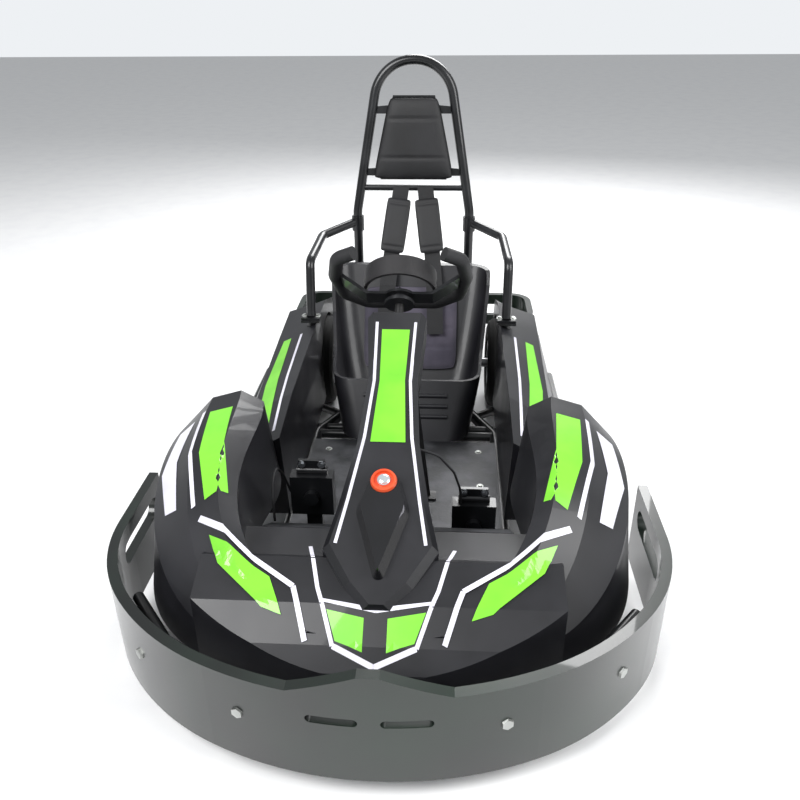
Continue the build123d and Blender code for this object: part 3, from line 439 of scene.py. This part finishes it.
# Seat: a moulded bucket with two foam cushions in woven purple-grey cloth, stitched across in
# bands and tucked against the shell's back and floor.
# Woven cloth: matt with a soft sheen, its threads drawn 2 mm apart, coarser than real ones, to show
seat_cloth = finish("seat_fabric", "#3a3744", "#57525f", 0.85, bump=0.55, weave=160)
back_along = Vector((0, 0.494, 0.8695)).normalized()
back_out = Vector((0, -0.8695, 0.494)).normalized()
back_plane = (Vector((0, 0.4792, 0.265)), across_kart, back_along, back_out)
cushion("seat_back_cushion", "seat_cushions", -0.124, 0.124, (0.139, 0.139), back_plane, 0.020, 0.002,
        seat_cloth, seams=(-0.06, 0.0, 0.06))
base_plane = (Vector((0, 0.268, 0.0907)), across_kart, Vector((0, 1, 0)), Vector((0, 0, 1)))
cushion("seat_base_cushion", "seat_cushions", -0.092, 0.092, (0.149, 0.149), base_plane, 0.030, 0.003,
        seat_cloth, seams=(-0.04, 0.03))

# Harness: flat woven polyester straps over the hoop's harness bar, with a chromed buckle, and
# a vinyl shoulder pad folded round each strap and stitched near its ends.
# Webbing: black and matt, with a tight weave of about 1 mm
webbing = finish("strap_fabric", "#111113", "#1d1d20", 0.7, bump=0.55, weave=320)
dress(webbing, "harness_straps")
dress(chrome, "harness_buckle")
pad_from = Vector((0.040, 0.658, 0.612))
pad_to = Vector((0.061, 0.583, 0.468))
pad_half_w = 0.036
strap_t = 0.0031
seam_share = 0.8
for hand, side in (("right", 1), ("left", -1)):
    start, end = (Vector((side * p.x, p.y, p.z)) for p in (pad_from, pad_to))
    along = (end - start).normalized()
    out = along.cross(across_kart).normalized()
    half_run = (end - start).length / 2
    pad_plane = ((start + end) / 2 + out * strap_t, along.cross(out).normalized(), along, out)
    cushion(f"shoulder_pad_{hand}", "harness_pads", -half_run, half_run, (pad_half_w, pad_half_w), pad_plane,
            0.011, 0.001, pad_vinyl, seams=(-half_run * seam_share, half_run * seam_share))

# Stage: a pale floor under a white studio. The world shows white to the camera and lights the
# kart at half that strength.
floor_half = 14
mesh = bmesh.new()
bmesh.ops.create_grid(mesh, x_segments=2, y_segments=2, size=floor_half)
floor_data = bpy.data.meshes.new("floor")
mesh.to_mesh(floor_data)
mesh.free()
floor = bpy.data.objects.new("floor", floor_data)
scene.collection.objects.link(floor)
floor_data.materials.append(finish("floor", "#f4f4f4", "#efeff0", 0.8, grain=80, bump=0.03))
world = bpy.data.worlds.new("studio")
scene.world = world
world.use_nodes = True
backdrop = world.node_tree.nodes["Background"]
backdrop.inputs["Color"].default_value = colour("#eef1f4")
seen = node(world.node_tree, "ShaderNodeLightPath").outputs["Is Camera Ray"]
strength = node(world.node_tree, "ShaderNodeMapRange", {"To Min": 0.5, "To Max": 1.0}, {"Value": seen})
world.node_tree.links.new(strength.outputs["Result"], backdrop.inputs["Strength"])


def lamp(name, place, target, size, power):
    """Soft area light aimed at a point."""
    data = bpy.data.lights.new(name, "AREA")
    data.size = size
    data.energy = power
    obj = bpy.data.objects.new(name, data)
    scene.collection.objects.link(obj)
    obj.location = place
    obj.rotation_mode = "QUATERNION"
    obj.rotation_quaternion = (Vector(target) - Vector(place)).to_track_quat("-Z", "Y")


lamp("key", (-1.8, -2.2, 3.2), (0, 0, 0.3), size=2.2, power=150)
lamp("fill", (2.6, -1.2, 2.2), (0, -0.2, 0.3), size=2.0, power=80)
lamp("back", (0.6, 2.8, 2.6), (0, 0.2, 0.6), size=1.8, power=110)

# Camera: looks down the nose from just above it, as in the photograph
yaw, pitch, roll = radians(3.63), radians(27.9), radians(-0.53)
forward = Vector((-sin(yaw) * cos(pitch), cos(yaw) * cos(pitch), -sin(pitch)))
level_right = forward.cross(Vector((0, 0, 1))).normalized()
level_up = level_right.cross(forward)
camera_right = level_right * cos(roll) + level_up * sin(roll)
camera_up = -level_right * sin(roll) + level_up * cos(roll)
camera_data = bpy.data.cameras.new("camera")
camera_data.sensor_width = 36.0
camera_data.lens = 35.53
camera = bpy.data.objects.new("camera", camera_data)
scene.collection.objects.link(camera)
camera.rotation_mode = "QUATERNION"
camera.rotation_quaternion = Matrix((camera_right, camera_up, -forward)).transposed().to_quaternion()
camera.location = (0.107, -1.743, 1.195)
scene.camera = camera
scene.view_settings.view_transform = "Standard"
